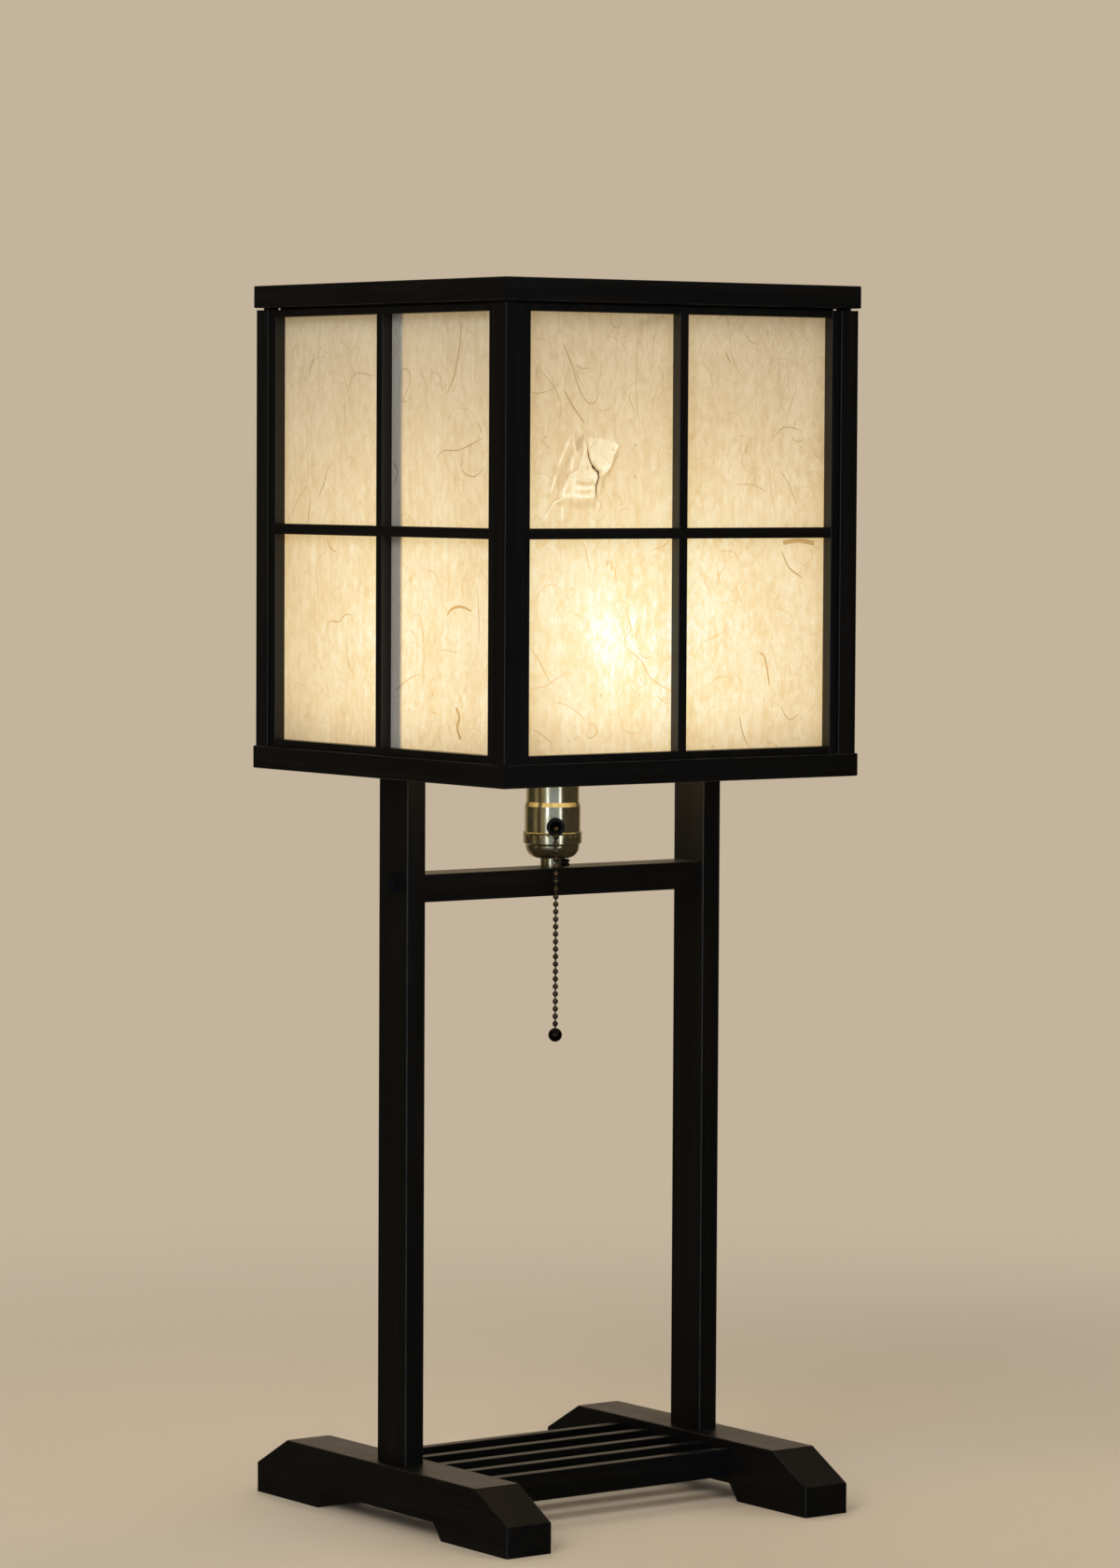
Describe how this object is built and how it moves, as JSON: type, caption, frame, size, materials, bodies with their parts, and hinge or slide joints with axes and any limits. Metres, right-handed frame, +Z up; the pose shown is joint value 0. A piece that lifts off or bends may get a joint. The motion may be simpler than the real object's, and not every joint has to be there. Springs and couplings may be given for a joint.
{
  "type": "shoji table lamp",
  "caption": "Square paper shade in a black wooden sash frame on tall legs with splayed feet and a slatted base, with a pull-chain brass lamp socket on a crossbar.",
  "frame": {"origin": "on the table under the middle of the base", "axes": "+Z up, X from the left leg to the right leg, Y along the feet, the front of the shade faces -Y"},
  "size_m": [0.245, 0.2466, 0.692],
  "materials": {
    "lacquered_wood": "satin black lacquer",
    "washi_paper": "matt handmade paper with long fibres, lit from behind",
    "socket_brass": "polished pale brass",
    "contact_brass": "bright brass",
    "steel": "zinc plated",
    "dark_steel": "blackened",
    "cardboard": "matt",
    "phenolic": "moulded",
    "black_bush": "moulded, satin",
    "bronze_chain": "antique bronze",
    "bronze_ball": "dark antique bronze",
    "bulb_metal": "rolled",
    "frosted_glass": "frosted, lit"
  },
  "bodies": {
    "lamp_frame": {"foot_left": "lacquered_wood", "foot_right": "lacquered_wood", "base_slat_1": "lacquered_wood", "base_slat_2": "lacquered_wood", "base_slat_3": "lacquered_wood", "base_slat_4": "lacquered_wood", "base_slat_5": "lacquered_wood", "leg_left": "lacquered_wood", "leg_right": "lacquered_wood", "crossbar": "lacquered_wood", "cap_rail_front": "lacquered_wood", "cap_rail_back": "lacquered_wood", "cap_rail_left": "lacquered_wood", "cap_rail_right": "lacquered_wood", "rim_rail_front": "lacquered_wood", "rim_rail_back": "lacquered_wood", "rim_rail_left": "lacquered_wood", "rim_rail_right": "lacquered_wood", "corner_post_front_left": "lacquered_wood", "corner_post_front_right": "lacquered_wood", "corner_post_back_left": "lacquered_wood", "corner_post_back_right": "lacquered_wood", "cap_cleats": "lacquered_wood", "sash_front_frame": "lacquered_wood", "sash_front_muntin_upright": "lacquered_wood", "sash_front_muntin_cross": "lacquered_wood", "sash_back_frame": "lacquered_wood", "sash_back_muntin_upright": "lacquered_wood", "sash_back_muntin_cross": "lacquered_wood", "sash_left_frame": "lacquered_wood", "sash_left_muntin_upright": "lacquered_wood", "sash_left_muntin_cross": "lacquered_wood", "sash_right_frame": "lacquered_wood", "sash_right_muntin_upright": "lacquered_wood", "sash_right_muntin_cross": "lacquered_wood", "paper_front": "washi_paper", "paper_back": "washi_paper", "paper_left": "washi_paper", "paper_right": "washi_paper", "shade_screws": "dark_steel", "nipple": "steel", "lock_nut": "steel", "socket_cap": "socket_brass", "set_screw": "dark_steel", "socket_shell": "socket_brass", "shell_liner": "cardboard", "socket_body": "phenolic", "screw_shell": "contact_brass", "centre_contact": "contact_brass", "terminal_screws": "contact_brass", "bell_mouth": "black_bush", "return_spring": "steel"},
    "chain_lead": {"chain_lead": "bronze_chain"},
    "chain_bend": {"chain_bend": "bronze_chain"},
    "chain_drop": {"chain_drop": "bronze_chain", "pull_ball": "bronze_ball"},
    "pull_lever": {"pull_lever": "steel"},
    "ratchet_rotor": {"ratchet_rotor": "phenolic"},
    "bulb": {"bulb_base": "bulb_metal", "bulb_globe": "frosted_glass"}
  },
  "joints": [
    {"name": "chain_pull", "type": "slide", "parent": "lamp_frame", "child": "chain_lead", "axis": [-0.5075, -0.8616, 0], "range_m": [0, 0.007], "stiffness_N_per_m": 600, "springref_m": -0.004},
    {"name": "chain_swing_side", "type": "hinge", "parent": "chain_lead", "child": "chain_bend", "pos_m": [-0.0102, -0.01732, 0.3862], "axis": [-0.5075, -0.8616, 0], "range_deg": [-9, 40]},
    {"name": "chain_swing_out", "type": "hinge", "parent": "chain_bend", "child": "chain_drop", "pos_m": [-0.0102, -0.01732, 0.3862], "axis": [-0.8616, 0.5075, 0], "range_deg": [0, 55]},
    {"name": "lever_turn", "type": "hinge", "parent": "lamp_frame", "child": "pull_lever", "pos_m": [0.00452, -0.00519, 0.3862], "axis": [0, 0, 1], "range_deg": [0, 60.01]},
    {"name": "ratchet_turn", "type": "hinge", "parent": "lamp_frame", "child": "ratchet_rotor", "pos_m": [0.00452, -0.00519, 0.3862], "axis": [0, 0, 1], "range_deg": [0, 45.01]},
    {"name": "bulb_lift", "type": "slide", "parent": "lamp_frame", "child": "bulb", "axis": [0, 0, 1], "range_m": [0, 0.3]}
  ],
  "couplings": [
    {"joint": "lever_turn", "follows": "chain_pull", "rad_per_m": 149.6},
    {"joint": "ratchet_turn", "follows": "chain_pull", "rad_per_m": 112.2}
  ]
}
